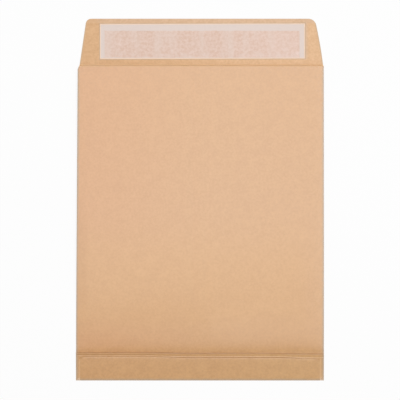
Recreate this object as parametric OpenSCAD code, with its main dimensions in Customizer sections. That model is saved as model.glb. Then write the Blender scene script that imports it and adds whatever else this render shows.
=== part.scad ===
// Gusseted pocket envelope in kraft paper, lying on its front panel with the top flap open.
// One blank is folded and glued into a tube with side gussets and a block bottom.
// Millimetres, +Z up. The throat and the flap point along +Y, the closed foot along -Y.

/* [Body] */
// Width of the body at its foot
body_w = 260; // [200:1:340]
// Height of the body, from the foot fold to the throat
body_h = 330; // [260:1:450]
// How far the left edge stands in at the throat
lean_left = 2.0; // [0:0.1:4]
// How far the right edge stands in at the throat
lean_right = 0.3; // [0:0.1:4]
// How far the left edge pinches in over the last of its height, at the throat
throat_pinch = 1.5; // [0:0.1:4]
// Length over which the left edge pinches in
throat_pinch_len = 3.7; // [1:0.1:10]
// Thickness of the paper
paper_t = 0.18; // [0.14:0.01:0.26]
// Air between two layers that are folded flat
fold_gap = 0.06; // [0.05:0.01:0.12]

/* [Side gussets] */
// Depth of each side gusset, which folds in by half of it
gusset_d = 30; // [24:1:40]
// Clear height between the front and back panels at the throat
throat_open = 6.5; // [5:0.5:12]
// Length over which the back panel comes down to the block bottom
slope_len = 116; // [80:1:180]

/* [Back seam] */
// Where the cut edge of the right half of the back panel lies
seam_x = -6.2; // [-30:0.1:30]
// Width of the glued overlap of the two halves
seam_overlap = 12; // [8:0.5:20]
// Width over which the right half comes down off the overlap
seam_ramp = 3; // [1:0.5:6]

/* [Block bottom] */
// Height of the bottom flap that closes the foot
bottom_flap_h = 23.4; // [20:0.1:26]
// How far each side of the bottom flap is cut in from the body's edge
bottom_flap_inset = 4; // [1:0.5:8]
// Length of the slanting cut at each upper corner of the bottom flap
bottom_flap_cut = 6; // [0:0.5:12]
// Depth of that cut
bottom_flap_cut_d = 1.5; // [0:0.1:4]
// Length of the back panel's lip, which is glued under the bottom flap
lip_len = 18; // [12:0.5:20]
// Bend radius of the foot fold, at mid paper
foot_r = 0.22; // [0.18:0.01:0.4]
// Width of the score bead that runs along the lip beside the bottom flap's cut edge
bead_w = 2.2; // [1:0.1:2.8]
// Height of the score bead
bead_h = 0.22; // [0.05:0.01:0.3]

/* [Top flap] */
// Height of the flap above the throat
flap_h = 49.6; // [35:0.1:80]
// Step in from the body's edge to the flap's left edge, at the fold
flap_step_left = 0.1; // [0:0.1:4]
// Step in from the body's edge to the flap's right edge, at the fold
flap_step_right = 0.3; // [0:0.1:4]
// How far the flap's left edge leans in over its height
flap_taper_left = 7.3; // [0:0.1:20]
// How far the flap's right edge leans in over its height
flap_taper_right = 9.1; // [0:0.1:20]
// How far the flap's right edge bows out between the fold and its top
flap_bow_right = 0.7; // [0:0.1:2]
// Corner radius at the flap's top left
flap_corner_left = 6; // [2:0.5:12]
// Corner radius at the flap's top right
flap_corner_right = 6; // [2:0.5:12]

/* [Closure strip] */
// Width of the adhesive strip
adhesive_w = 204.6; // [150:0.1:230]
// Height of the adhesive strip
adhesive_h = 28.1; // [10:0.1:28.5]
// Thickness of the adhesive strip
adhesive_t = 0.08; // [0.05:0.01:0.2]
// How far the middle of the strip lies to the right of the body's middle
adhesive_x = 2.3; // [-5:0.1:5]
// Distance from the flap's fold to the strip
adhesive_up = 8.8; // [4:0.1:10]
// Overhang of the release liner beyond the strip at its left and right ends
liner_side = 5.2; // [2:0.1:6]
// Overhang of the release liner beyond the strip at its upper edge
liner_top = 7.5; // [1:0.1:9]
// Overhang of the release liner beyond the strip at its lower edge
liner_low = 1.3; // [0:0.1:3]
// Thickness of the release liner
liner_t = 0.06; // [0.04:0.01:0.12]

/* [Hidden] */

kraft = [0.89, 0.74, 0.60];
glue_white = [0.87, 0.78, 0.70];
liner_white = [0.93, 0.88, 0.84];

t = paper_t;
pitch = t + fold_gap;      // from one flat-folded layer to the next
fold_r = pitch / 2;        // bend radius of a flat fold, at mid paper
half_g = gusset_d / 2;     // how far a gusset folds in, and where the back panel is creased
block_d = gusset_d;        // the block bottom is as deep as the gussets
edge = body_w / 2;
glue_press = 0.02;         // how far glued layers are pressed into each other
arc_step = 30;             // degrees between two points along a bend

// Mid-paper height of the nth layer of a flat-folded stack, the front panel being layer 0
function level(n) = t / 2 + n * pitch;

// The body's left and right edges at height y
function left_x(y) = -edge + lean_left * max(0, y - half_g) / (body_h - half_g)
    + throat_pinch * max(0, 1 - (body_h - y) / throat_pinch_len);
function right_x(y) = edge - lean_right * max(0, y - half_g) / (body_h - half_g);

// The back panel lies flat over the block, rises in a slowing curve and then runs level
back_top = 1.5 * t + throat_open;
function rise(y) = let (u = min(1, max(0, (y - block_d) / slope_len)))
    (back_top - level(3)) * u * (2 - u);

// Sections of folded paper

// Samples [point, heading] along a bend about c, turning left or right
function bend_left(c, r, a0, a1) = let (n = max(2, ceil(abs(a1 - a0) / arc_step)))
    [for (i = [0:n]) let (a = a0 + (a1 - a0) * i / n) [c + r * [sin(a), -cos(a)], a]];
function bend_right(c, r, a0, a1) = let (n = max(2, ceil(abs(a1 - a0) / arc_step)))
    [for (i = [0:n]) let (a = a0 + (a1 - a0) * i / n) [c + r * [-sin(a), cos(a)], a]];

// The two faces of the paper beside a sample: to the right of its heading, and to the left
function face_right(s) = s[0] + t / 2 * [sin(s[1]), -cos(s[1])];
function face_left(s) = s[0] - t / 2 * [sin(s[1]), -cos(s[1])];

// Outline of a folded strip, from its samples
function ribbon(path) = concat([for (s = path) face_right(s)],
    [for (i = [len(path) - 1:-1:0]) face_left(path[i])]);

// The gusset's path from the front panel's edge at x = w, in and out again to the back panel,
// which lies h above the front panel. The paper in it is as long at every height.
gusset_run = (gusset_d - 3 * PI * fold_r) / 2;
function gusset(w, h) = let (
        r = fold_r,
        a = asin(min(1, (h - 6 * r) / (2 * gusset_run))),
        c1 = [w - r - t / 2, t / 2 + r],
        p2 = c1 + r * [sin(a), cos(a)] + gusset_run * [-cos(a), sin(a)],
        c2 = p2 + r * [sin(a), cos(a)],
        p4 = c2 + r * [-sin(a), cos(a)] + gusset_run * [cos(a), sin(a)],
        c3 = p4 + r * [-sin(a), cos(a)])
    concat(bend_left(c1, r, 0, 180 - a), bend_right(c2, r, 180 - a, a),
        bend_left(c3, r, a, 180));

// Pairs [outer point, inner point] along the back panel's seam, from right to left:
// the right half climbs onto the left half, which ends under it, and ends on top of it
seam_tip = 0.3;
function seam_pairs(z) = let (x = seam_x, xi = seam_x + seam_overlap, e = seam_tip) [
    [[xi + seam_ramp, z + t / 2], [xi + seam_ramp, z - t / 2]],
    [[xi + e, z + 1.5 * t], [xi, z + t / 2]],
    [[xi - e, z + 1.5 * t], [xi, z - t / 2]],
    [[x, z + 1.5 * t], [x + e, z - t / 2]],
    [[x, z + t / 2], [x - e, z - t / 2]]];

// One closed section of the body at height y, as pairs [outer point, inner point]
function section(y) = let (
        z = level(3) + rise(y),
        h = z - t / 2,
        right = [for (s = gusset(right_x(y), h)) [face_right(s), face_left(s)]],
        left = [for (s = gusset(-left_x(y), h)) [face_right(s), face_left(s)]],
        n = len(left))
    concat(right, seam_pairs(z),
        [for (i = [n - 1:-1:0]) [for (p = left[i]) [-p[0], p[1]]]]);

// The gusseted body, a thin-walled tube through its sections

slope_steps = 8;
stations = concat([half_g, block_d],
    [for (i = [1:slope_steps]) block_d + slope_len * i / slope_steps],
    [body_h - throat_pinch_len, body_h]);

module body_tube() {
    rings = [for (y = stations) [y, section(y)]];
    n = len(rings[0][1]);
    last = len(rings) - 1;
    // points: each ring's outer face, then its inner face
    pts = [for (r = rings) for (side = [0, 1]) for (p = r[1]) [p[side][0], r[0], p[side][1]]];
    function at(i, side, j) = (2 * i + side) * n + (j % n);
    polyhedron(points = pts, convexity = 10, faces = concat(
        [for (i = [0:last - 1]) for (j = [0:n - 1])
            each [[at(i, 0, j), at(i, 0, j + 1), at(i + 1, 0, j + 1)],
                  [at(i, 0, j), at(i + 1, 0, j + 1), at(i + 1, 0, j)],
                  [at(i, 1, j), at(i + 1, 1, j + 1), at(i, 1, j + 1)],
                  [at(i, 1, j), at(i + 1, 1, j), at(i + 1, 1, j + 1)]]],
        [for (j = [0:n - 1])
            each [[at(0, 0, j), at(0, 1, j), at(0, 0, j + 1)],
                  [at(0, 0, j + 1), at(0, 1, j), at(0, 1, j + 1)],
                  [at(last, 0, j), at(last, 0, j + 1), at(last, 1, j)],
                  [at(last, 0, j + 1), at(last, 1, j + 1), at(last, 1, j)]]]));
}

// The block bottom

// Draws a YZ outline along X from x0 to x1
module along_x(x0, x1) {
    translate([x0, 0, 0]) rotate([90, 0, 90]) linear_extrude(x1 - x0) children();
}

// The bottom flap slopes up from the foot fold until it clears the corner tucks and the lip
foot_y = foot_r + t / 2;
flap_z0 = t / 2 + 2 * foot_r;
flap_slope = (level(7) + t - flap_z0) / half_g;
flap_angle = atan(flap_slope);
function flap_z(y) = flap_z0 + flap_slope * y;
function lip_z(y) = flap_z(y) - (t - glue_press) / cos(flap_angle);

// The corner tucks and the creased part of the back panel share one slope
tuck_slope = (level(6) - level(1)) / half_g;
function tuck_z(y) = level(1) + tuck_slope * y;
function small_z(y) = level(5) + tuck_slope * (y - half_g);
function under_z(y) = level(4) + tuck_slope * (y - half_g);

// The hinge turns from the creased part of the back panel into its lip
hinge_y = block_d - t / 2;
hinge_r = (lip_z(hinge_y) - under_z(hinge_y))
    / (1 / cos(atan(tuck_slope)) + 1 / cos(flap_angle) + flap_slope - tuck_slope);
hinge_c = [hinge_y - hinge_r,
    under_z(hinge_y - hinge_r) + hinge_r / cos(atan(tuck_slope))];

// The score bead rises from the lip just above the bottom flap's cut edge
bead_y0 = bottom_flap_h + 0.5;
bead_y1 = bead_y0 + bead_w;
function bead_phase(y) = 360 * (y - bead_y0) / bead_w;
function bead_z(y) = bead_h * (1 - cos(bead_phase(y))) / 2;
function bead_rise(y) = bead_h * sin(bead_phase(y)) * PI / bead_w;

module front_foot() {
    out = edge - fold_r - t / 2;
    in = edge - bottom_flap_inset;
    linear_extrude(t) polygon([[-out, 0], [-in, 0], [-in, foot_y], [in, foot_y], [in, 0],
        [out, 0], [out, half_g + 0.5], [-out, half_g + 0.5]]);
}

module bottom_flap() {
    c = [foot_y, foot_r + t / 2];
    turn = bend_right(c, foot_r, 180, flap_angle);
    y1 = bottom_flap_h - t / 2 * sin(flap_angle);
    foot = [[[foot_y + 1, t / 2], 180]];
    tip = [[[y1, turn[len(turn) - 1][0][1] + flap_slope * (y1 - turn[len(turn) - 1][0][0])],
        flap_angle]];
    x1 = edge - bottom_flap_inset;
    difference() {
        along_x(-x1, x1) polygon(ribbon(concat(foot, turn, tip)));
        for (side = [-1, 1]) scale([side, 1, 1]) linear_extrude(block_d)
            polygon([[x1 - bottom_flap_cut, bottom_flap_h], [x1, bottom_flap_h - bottom_flap_cut_d],
                [x1 + 1, bottom_flap_h - bottom_flap_cut_d], [x1 + 1, bottom_flap_h + 1],
                [x1 - bottom_flap_cut, bottom_flap_h + 1]]);
    }
}

// The back panel doubled back from its crease at half the block's depth, the hinge and the lip
module back_fold() {
    a0 = atan(tuck_slope);
    a1 = 180 + flap_angle;
    steps = 10;
    beads = [for (i = [0:steps]) let (y = bead_y1 + (bead_y0 - bead_y1) * i / steps)
        [[y, lip_z(y) + bead_z(y)], 180 + atan(flap_slope + bead_rise(y))]];
    lip_y = block_d - lip_len;
    along_x(-edge, edge) {
        polygon(ribbon(concat([[[half_g + t / 2, under_z(half_g + t / 2)], a0]],
            bend_left(hinge_c, hinge_r, a0, a1), beads, [[[lip_y, lip_z(lip_y)], a1]])));
        translate([half_g, level(3) - t / 2]) square([t, pitch + t]);
    }
}

// The tucks that a gusset makes in the block's end, at the left edge; the right is its mirror.
// Its lower half ends at a diagonal, where it turns into a triangle that points inwards, and
// its upper half doubles back into a smaller triangle that joins the first at the other diagonal.
module corner_tuck() {
    web = t * sqrt(2);
    y2 = half_g - fold_gap - t;
    nose = fold_r + t / 2;
    // lower half of the gusset down to its diagonal, and the front panel's edge fold
    translate([0, 0, level(1) - t / 2]) linear_extrude(t)
        polygon([[-edge + nose, nose], [-edge + nose, half_g + 0.5],
            [-edge + half_g, half_g + 0.5], [-edge + half_g, half_g]]);
    translate([-edge + nose, half_g + 0.5, nose]) rotate([90, 0, 0]) linear_extrude(half_g + 0.5)
        polygon(ribbon(bend_left([0, 0], fold_r, 180, 360)));
    // large triangle, with its folds along both diagonals
    intersection() {
        linear_extrude(10)
            polygon([[-edge, 0], [-edge + half_g, half_g], [-edge, block_d]]);
        along_x(-edge, -edge + half_g) polygon([[0, tuck_z(0) - t / 2], [block_d, tuck_z(block_d) - t / 2],
            [block_d, tuck_z(block_d) + t / 2], [0, tuck_z(0) + t / 2]]);
    }
    intersection() {
        linear_extrude(10) polygon([[-edge, 0], [-edge + half_g, half_g],
            [-edge + half_g - web, half_g], [-edge, web]]);
        along_x(-edge, -edge + half_g) polygon([[0, level(1) - t / 2], [half_g, level(1) - t / 2],
            [half_g, tuck_z(half_g) + t / 2], [0, tuck_z(0) + t / 2]]);
    }
    intersection() {
        linear_extrude(10) polygon([[-edge + half_g, half_g], [-edge, block_d],
            [-edge, block_d - web], [-edge + half_g - web, half_g]]);
        along_x(-edge, -edge + half_g) polygon([[half_g, small_z(half_g) - t / 2],
            [block_d, small_z(block_d) - t / 2], [block_d, tuck_z(block_d) + t / 2],
            [half_g, tuck_z(half_g) + t / 2]]);
    }
    // small triangle, joined to the doubled back panel along the edge
    intersection() {
        linear_extrude(10)
            polygon([[-edge, y2], [-edge + half_g, y2], [-edge + half_g, half_g], [-edge, block_d]]);
        along_x(-edge, -edge + half_g) polygon([[y2, small_z(y2) - t / 2],
            [block_d, small_z(block_d) - t / 2], [block_d, small_z(block_d) + t / 2],
            [y2, small_z(y2) + t / 2]]);
    }
    along_x(-edge, -edge + t) polygon([[half_g, under_z(half_g) - t / 2],
        [block_d - web, under_z(block_d - web) - t / 2],
        [block_d - web, small_z(block_d - web) + t / 2], [half_g, small_z(half_g) + t / 2]]);
    // upper half of the gusset, doubled back round the back panel's crease
    translate([-edge + nose, y2, level(2) - t / 2])
        cube([half_g - 2 * nose, half_g + 0.5 - y2, t]);
    translate([-edge + nose, y2, level(2) - t / 2])
        cube([half_g - 2 * nose, t, small_z(y2) - level(2) + t]);
}

module kraft_sheet() {
    color(kraft) {
        body_tube();
        front_foot();
        bottom_flap();
        back_fold();
        corner_tuck();
        mirror([1, 0, 0]) corner_tuck();
        top_flap();
    }
}

// The top flap

// Rounds the corner at b between a and c with radius r
function rounded(a, b, c, r) = let (
        u = (a - b) / norm(a - b), v = (c - b) / norm(c - b),
        half = acos(u * v) / 2,
        m = b + r / sin(half) * (u + v) / norm(u + v),
        p = b + r / tan(half) * u, q = b + r / tan(half) * v,
        a0 = atan2(p[1] - m[1], p[0] - m[0]), a1 = atan2(q[1] - m[1], q[0] - m[0]),
        d = (a1 - a0 + 540) % 360 - 180, n = 8)
    [for (i = [0:n]) m + r * [cos(a0 + d * i / n), sin(a0 + d * i / n)]];

module top_flap() {
    x0 = left_x(body_h) + flap_step_left;
    x1 = right_x(body_h) - flap_step_right;
    y1 = body_h + flap_h;
    a = [x0, body_h];
    b = [x0 + flap_taper_left, y1];
    c = [x1 - flap_taper_right, y1];
    // the right edge, from its top to the fold
    side = [for (i = [0:8]) let (u = 1 - i / 8)
        [x1 - flap_taper_right * u + 4 * flap_bow_right * u * (1 - u), body_h + flap_h * u]];
    linear_extrude(t) polygon(concat([[x0, body_h - 1]], [a],
        rounded(a, b, c, flap_corner_left), rounded(b, c, side[1], flap_corner_right),
        [for (i = [2:8]) side[i]], [[x1, body_h - 1]]));
}

// The closure strip on the flap's inner face

strip_x0 = adhesive_x - adhesive_w / 2;
strip_y0 = body_h + adhesive_up;

module adhesive_strip() {
    color(glue_white) translate([strip_x0, strip_y0, t])
        cube([adhesive_w, adhesive_h, adhesive_t]);
}

module release_liner() {
    color(liner_white) translate([strip_x0 - liner_side, strip_y0 - liner_low, t + adhesive_t])
        cube([adhesive_w + 2 * liner_side, adhesive_h + liner_low + liner_top, liner_t]);
}

// The origin is under the middle of the whole outline
module placed() {
    translate([0, -(body_h + flap_h) / 2, 0]) children();
}

placed() kraft_sheet();
placed() adhesive_strip();
placed() release_liner();
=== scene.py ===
import math

import bpy
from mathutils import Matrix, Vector, noise


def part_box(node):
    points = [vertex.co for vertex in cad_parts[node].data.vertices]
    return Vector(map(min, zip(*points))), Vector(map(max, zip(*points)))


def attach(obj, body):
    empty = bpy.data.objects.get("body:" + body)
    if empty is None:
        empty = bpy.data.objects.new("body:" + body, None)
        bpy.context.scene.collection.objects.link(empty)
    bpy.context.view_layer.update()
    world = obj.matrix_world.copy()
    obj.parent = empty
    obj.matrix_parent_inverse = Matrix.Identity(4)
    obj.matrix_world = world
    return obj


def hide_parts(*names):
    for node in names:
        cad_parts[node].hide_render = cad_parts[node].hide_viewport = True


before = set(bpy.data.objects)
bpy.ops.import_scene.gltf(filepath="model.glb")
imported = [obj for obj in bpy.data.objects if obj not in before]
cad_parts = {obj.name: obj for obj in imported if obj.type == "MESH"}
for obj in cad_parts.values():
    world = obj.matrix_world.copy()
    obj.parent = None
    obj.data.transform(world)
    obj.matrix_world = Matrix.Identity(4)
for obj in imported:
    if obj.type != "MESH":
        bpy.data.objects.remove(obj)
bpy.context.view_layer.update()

# Kraft paper is the stuff of the whole blank. Its outside is glazed on a hot roller and has a
# soft sheen, its inside is left matt and a little paler, and a cut edge shows raw fibre.
# Along its folds the paper is darker and greyer in patches, a painted shade.
MM = 0.001

# the folded body, its gussets, and how its sides lean in and step in to the top flap
SHEET_LOW, SHEET_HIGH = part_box("kraft_sheet")
EDGE = SHEET_HIGH.x
FOOT = SHEET_LOW.y
TOP_FLAP = 49.6 * MM
THROAT = SHEET_HIGH.y - FOOT - TOP_FLAP
GUSSET = 30 * MM
HALF_GUSSET = GUSSET / 2
LEAN_LEFT = 2.0 * MM
LEAN_RIGHT = 0.3 * MM
PINCH = 1.5 * MM
STEP_LEFT = 0.1 * MM
STEP_RIGHT = 0.3 * MM
TAPER_LEFT = 7.3 * MM
TAPER_RIGHT = 8.85 * MM
BOW_RIGHT = 0.7 * MM

# the bottom flap and the crease above it, whose heights drift down in two falls
FLAP_INSET = 4 * MM
FLAP_CUT = 6 * MM
FLAP_CUT_DROP = 1.5 * MM
FLAP_END = 25.1 * MM
FLAP_DRIFT = 2.2 * MM
CREASE = 29.5 * MM
CREASE_DRIFT = 1.4 * MM
FIRST_FALL = (-60 * MM, -10 * MM)
FLAP_FALL = (80 * MM, 118 * MM)
CREASE_FALL = (50 * MM, 125 * MM)

# the release liner lies a little aside from its solid and is slightly turned
LINER_ASIDE = Vector((0.35 * MM, 0, 0))
LINER_SKEW = 0.0024
LINER_LOW, LINER_HIGH = (corner + LINER_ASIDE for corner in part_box("release_liner"))

# places of the two colours and of the result on a Mix node
MIX_A, MIX_B, MIX_RESULT = 6, 7, 2


def plug(tree, value, socket):
    """Links an output to a socket, or gives the socket a number or a colour."""
    if isinstance(value, bpy.types.NodeSocket):
        tree.links.new(value, socket)
    elif isinstance(value, (tuple, list)) and len(value) == 3 and len(socket.default_value) == 4:
        socket.default_value = (*value, 1)
    else:
        socket.default_value = value


def maths(tree, operation, *values):
    """A Math node of the given operation."""
    made = tree.nodes.new("ShaderNodeMath")
    made.operation = operation
    for value, socket in zip(values, made.inputs):
        plug(tree, value, socket)
    return made.outputs[0]


def chain(tree, operation, values):
    """Math nodes in a row that take in all the values."""
    total = values[0]
    for value in values[1:]:
        total = maths(tree, operation, total, value)
    return total


def times(tree, *values):
    return chain(tree, "MULTIPLY", values)


def plus(tree, *values):
    return chain(tree, "ADD", values)


def most(tree, *values):
    return chain(tree, "MAXIMUM", values)


def least(tree, *values):
    return chain(tree, "MINIMUM", values)


def minus(tree, value, taken):
    return maths(tree, "SUBTRACT", value, taken)


def scaled(tree, value, factor, offset):
    """value * factor + offset."""
    return maths(tree, "MULTIPLY_ADD", value, factor, offset)


def ramp(tree, value, low, high, start=0.0, end=1.0):
    """Goes smoothly from start at low to end at high, and stays level beyond them."""
    made = tree.nodes.new("ShaderNodeMapRange")
    made.interpolation_type = "SMOOTHSTEP"
    for number, name in ((value, "Value"), (low, "From Min"), (high, "From Max"),
                         (start, "To Min"), (end, "To Max")):
        plug(tree, number, made.inputs[name])
    return made.outputs["Result"]


def blend(tree, share, a, b):
    """Colour a where share is 0, colour b where it is 1."""
    made = tree.nodes.new("ShaderNodeMix")
    made.data_type = "RGBA"
    plug(tree, share, made.inputs["Factor"])
    plug(tree, a, made.inputs[MIX_A])
    plug(tree, b, made.inputs[MIX_B])
    return made.outputs[MIX_RESULT]


def grain(tree, place, size, detail=2.0, roughness=0.5, stretch=None):
    """Noise with features about size across, drawn out along an axis where stretch is given."""
    made = tree.nodes.new("ShaderNodeTexNoise")
    made.inputs["Scale"].default_value = 1 / size
    made.inputs["Detail"].default_value = detail
    made.inputs["Roughness"].default_value = roughness
    if stretch:
        pull = tree.nodes.new("ShaderNodeMapping")
        pull.inputs["Scale"].default_value = stretch
        tree.links.new(place, pull.inputs["Vector"])
        place = pull.outputs["Vector"]
    tree.links.new(place, made.inputs["Vector"])
    return made.outputs["Fac"]


def coordinates(tree, place):
    """The X, Y and Z of a place."""
    split = tree.nodes.new("ShaderNodeSeparateXYZ")
    tree.links.new(place, split.inputs[0])
    return tuple(split.outputs)


def new_material(name, roughness, specular):
    """A material with its tree, its shader and the object's own coordinates."""
    finish = bpy.data.materials.new(name)
    finish.use_nodes = True
    tree = finish.node_tree
    shader = tree.nodes["Principled BSDF"]
    shader.inputs["Roughness"].default_value = roughness
    shader.inputs["Specular IOR Level"].default_value = specular
    return finish, tree, shader, tree.nodes.new("ShaderNodeTexCoord").outputs["Object"]


def tooth(tree, shader, height, strength, depth):
    """Gives a surface its fine tooth."""
    bump = tree.nodes.new("ShaderNodeBump")
    bump.inputs["Strength"].default_value = strength
    bump.inputs["Distance"].default_value = depth
    plug(tree, height, bump.inputs["Height"])
    plug(tree, bump.outputs["Normal"], shader.inputs["Normal"])


# the pulp: sizes and weights of what is in it, and how its dark and pale tones differ
CLOUD, MOTTLE, FIBRE, SPECK = 9 * MM, 2.4 * MM, 0.5 * MM, 1.1 * MM
CLOUD_WEIGHT, MOTTLE_WEIGHT, FIBRE_WEIGHT = 0.45, 0.7, 0.22
FIBRE_STRETCH = 0.16
PULP_RANGE = (0.5, 1.1)
DARK_TONE = (1.0, 1.25, 1.6)
PALE_TONE = (0.8, 1.1, 1.5)
SPECK_RANGE = (0.74, 0.8, 0.0, 0.5)
SPECK_TONE = 0.72


def paper_colour(tree, place, colour, spread):
    """Pulp colour: soft clouds, a fine mottle, fibres lying across each other, a few specks."""
    dark = [c * (1 - spread * k) for c, k in zip(colour, DARK_TONE)]
    pale = [c * (1 + spread * k) for c, k in zip(colour, PALE_TONE)]
    fibre = plus(tree, grain(tree, place, FIBRE, stretch=(1.0, FIBRE_STRETCH, 1.0)),
                 grain(tree, place, FIBRE, stretch=(FIBRE_STRETCH, 1.0, 1.0)))
    mottle = times(tree, grain(tree, place, MOTTLE), MOTTLE_WEIGHT)
    mixed = scaled(tree, grain(tree, place, CLOUD, detail=3.0), CLOUD_WEIGHT, mottle)
    mixed = scaled(tree, fibre, FIBRE_WEIGHT, mixed)
    pulp = blend(tree, ramp(tree, mixed, *PULP_RANGE), dark, pale)
    speck = ramp(tree, grain(tree, place, SPECK, detail=1.0), *SPECK_RANGE)
    return blend(tree, speck, pulp, [c * SPECK_TONE for c in colour])


def from_edges(tree, x, up):
    """How far x lies in from the body's left and right edges, which lean in as up goes to 1."""
    left = scaled(tree, up, LEAN_LEFT, -EDGE)
    right = scaled(tree, up, -LEAN_RIGHT, EDGE)
    return minus(tree, x, left), minus(tree, right, x)


# the glazed side's colours, and the matt side's, to which the right edge pales a little
GLAZED = (0.585, 0.305, 0.118)
GLAZED_LEFT = (0.587, 0.285, 0.103)
GLAZED_FOOT = (0.570, 0.307, 0.116)
GLAZED_FOOT_RIGHT = (0.580, 0.326, 0.126)
WARMER = (0.590, 0.300, 0.093)
INNER = (0.70, 0.424, 0.225)
# painted shade along the folds, darker and greyer
FOLD_SHADE = (0.42, 0.295, 0.185)
RAW_EDGE = (0.72, 0.45, 0.22)
THROAT_EDGE = (0.545, 0.275, 0.085)
# painted shade, in the gap at the bottom flap's edge and down the lower left side
SHADED = (0.36, 0.14, 0.015)
# painted shade along the crease and the lip's set fold
CREASE_SHADE = (0.45, 0.225, 0.085)
GLAZED_SPREAD = 0.06
FOOT_SPREAD = 0.11

# each mark's ramp: where it begins, where it ends, and its strength before and after
BODY_TURNS = (-EDGE, 30 * MM, 0.0, 1.0)
WARM_BEGINS = (35 * MM, 75 * MM, 0.0, 1.0)
WARM_ENDS = (105 * MM, 190 * MM, 0.75, 0.0)
WARM_RIGHT = (100 * MM, 125 * MM, 1.0, 0.5)
FOOT_TURNS = (10 * MM, 110 * MM, 0.0, 1.0)
FOOT_ENDS = (26 * MM, 38 * MM, 0.7, 0.0)
PALE_RIGHT = (2 * MM, 12 * MM, 0.07, 0.0)
# painted shade down the lower left side, where the panel rolls down to its side fold
LEFT_SHADE_WIDTH = (7 * MM, 15 * MM, 0.14, 0.0)
LEFT_SHADE_BEGINS = (55 * MM, 95 * MM, 0.0, 1.0)
LEFT_SHADE_ENDS = (150 * MM, 200 * MM, 1.0, 0.0)
# painted shade along the side folds and the foot, in patches
FOLD_SHADE_WIDTH = (0.5 * MM, 3.0 * MM, 0.85, 0.0)
FOLD_SHADE_PATCHES = (0.3, 0.6, 0.6, 1.0)
THROAT_BEGINS = (THROAT - 1.4 * MM, THROAT - 0.5 * MM, 0.0, 0.9)
CUT_EDGE = (0.2 * MM, 0.7 * MM, 0.5, 0.0)
CUT_EDGE_ENDS = (FLAP_END - 3 * MM, FLAP_END - 2 * MM, 1.0, 0.0)
CUT_EDGE_OUT = 0.3 * MM

# the lines at the foot, all painted shade: in the gap at the bottom flap's edge, and along the
# crease and the lip
GAP_ABOVE = 0.15 * MM
GAP_WIDTH = 0.8 * MM
GAP_DEEPENS = (-60 * MM, 0.0, 0.55, 0.95)
GAP_CLOSES = (96 * MM, 112 * MM, 1.0, 0.4)
GAP_ENDS = (EDGE - FLAP_INSET, EDGE - FLAP_INSET + 0.6 * MM, 1.0, 0.0)
CREASE_SHADE_BELOW = 0.5 * MM
CREASE_SHADE_WIDTH = 1.3 * MM
CREASE_SHADE_SHARE = 0.7
CREASE_SHADE_DEEPENS = (-55 * MM, -40 * MM, 0.0, 1.0)
CREASE_SHADE_FADES = (0.0, 40 * MM, 0.3, 0.0)
LIP_SHADE_ABOVE = 2.1 * MM
LIP_SHADE_WIDTH = 0.9 * MM
LIP_SHADE_ENDS = (-55 * MM, -40 * MM, 0.6, 0.0)


def glazed_pulp(tree, place, x, from_foot, from_right):
    """The glazed pulp, whose colour drifts from left to right, above the foot and in it."""

    def pulp(colour, spread=GLAZED_SPREAD):
        return paper_colour(tree, place, colour, spread)

    body = blend(tree, ramp(tree, x, *BODY_TURNS), pulp(GLAZED_LEFT), pulp(GLAZED))
    warm = times(tree, ramp(tree, from_foot, *WARM_BEGINS), ramp(tree, from_foot, *WARM_ENDS),
                 ramp(tree, x, *WARM_RIGHT))
    body = blend(tree, warm, body, pulp(WARMER))
    foot = blend(tree, ramp(tree, x, *FOOT_TURNS), pulp(GLAZED_FOOT, FOOT_SPREAD),
                 pulp(GLAZED_FOOT_RIGHT, FOOT_SPREAD))
    whole = blend(tree, ramp(tree, from_foot, *FOOT_ENDS), body, foot)
    return blend(tree, ramp(tree, from_right, *PALE_RIGHT), whole, INNER)


def foot_line(tree, x, from_foot, height, drift, fall, width):
    """A line across the foot that drifts down from its height as the fold there does."""
    askew = plus(tree, ramp(tree, x, *FIRST_FALL, 0.0, 0.5), ramp(tree, x, *fall, 0.0, 0.5))
    off = minus(tree, from_foot, scaled(tree, askew, -drift, height))
    return ramp(tree, maths(tree, "ABSOLUTE", off), 0.0, width, 1.0, 0.0)


def flap_gap_shade(tree, x, far, from_foot):
    """Painted shade in the gap along the bottom flap's edge, down its cut corners and no further.
    """
    in_cut = most(tree, minus(tree, far, EDGE - FLAP_INSET - FLAP_CUT), 0.0)
    height = scaled(tree, in_cut, -FLAP_CUT_DROP / FLAP_CUT, FLAP_END + GAP_ABOVE)
    return times(tree, foot_line(tree, x, from_foot, height, FLAP_DRIFT, FLAP_FALL, GAP_WIDTH),
                 ramp(tree, x, *GAP_DEEPENS), ramp(tree, x, *GAP_CLOSES),
                 ramp(tree, far, *GAP_ENDS))


def painted_crease_shade(tree, x, from_foot):
    """Painted shade along the crease, and on the left also along the lip's set fold."""
    deeper = times(tree, ramp(tree, x, *CREASE_SHADE_DEEPENS), ramp(tree, x, *CREASE_SHADE_FADES))
    at_crease = foot_line(tree, x, from_foot, CREASE - CREASE_SHADE_BELOW, CREASE_DRIFT, CREASE_FALL,
                          CREASE_SHADE_WIDTH)
    at_lip = foot_line(tree, x, from_foot, FLAP_END + LIP_SHADE_ABOVE, FLAP_DRIFT, FLAP_FALL,
                       LIP_SHADE_WIDTH)
    return most(tree, times(tree, at_crease, plus(tree, deeper, CREASE_SHADE_SHARE)),
                times(tree, at_lip, ramp(tree, x, *LIP_SHADE_ENDS)))


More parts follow.
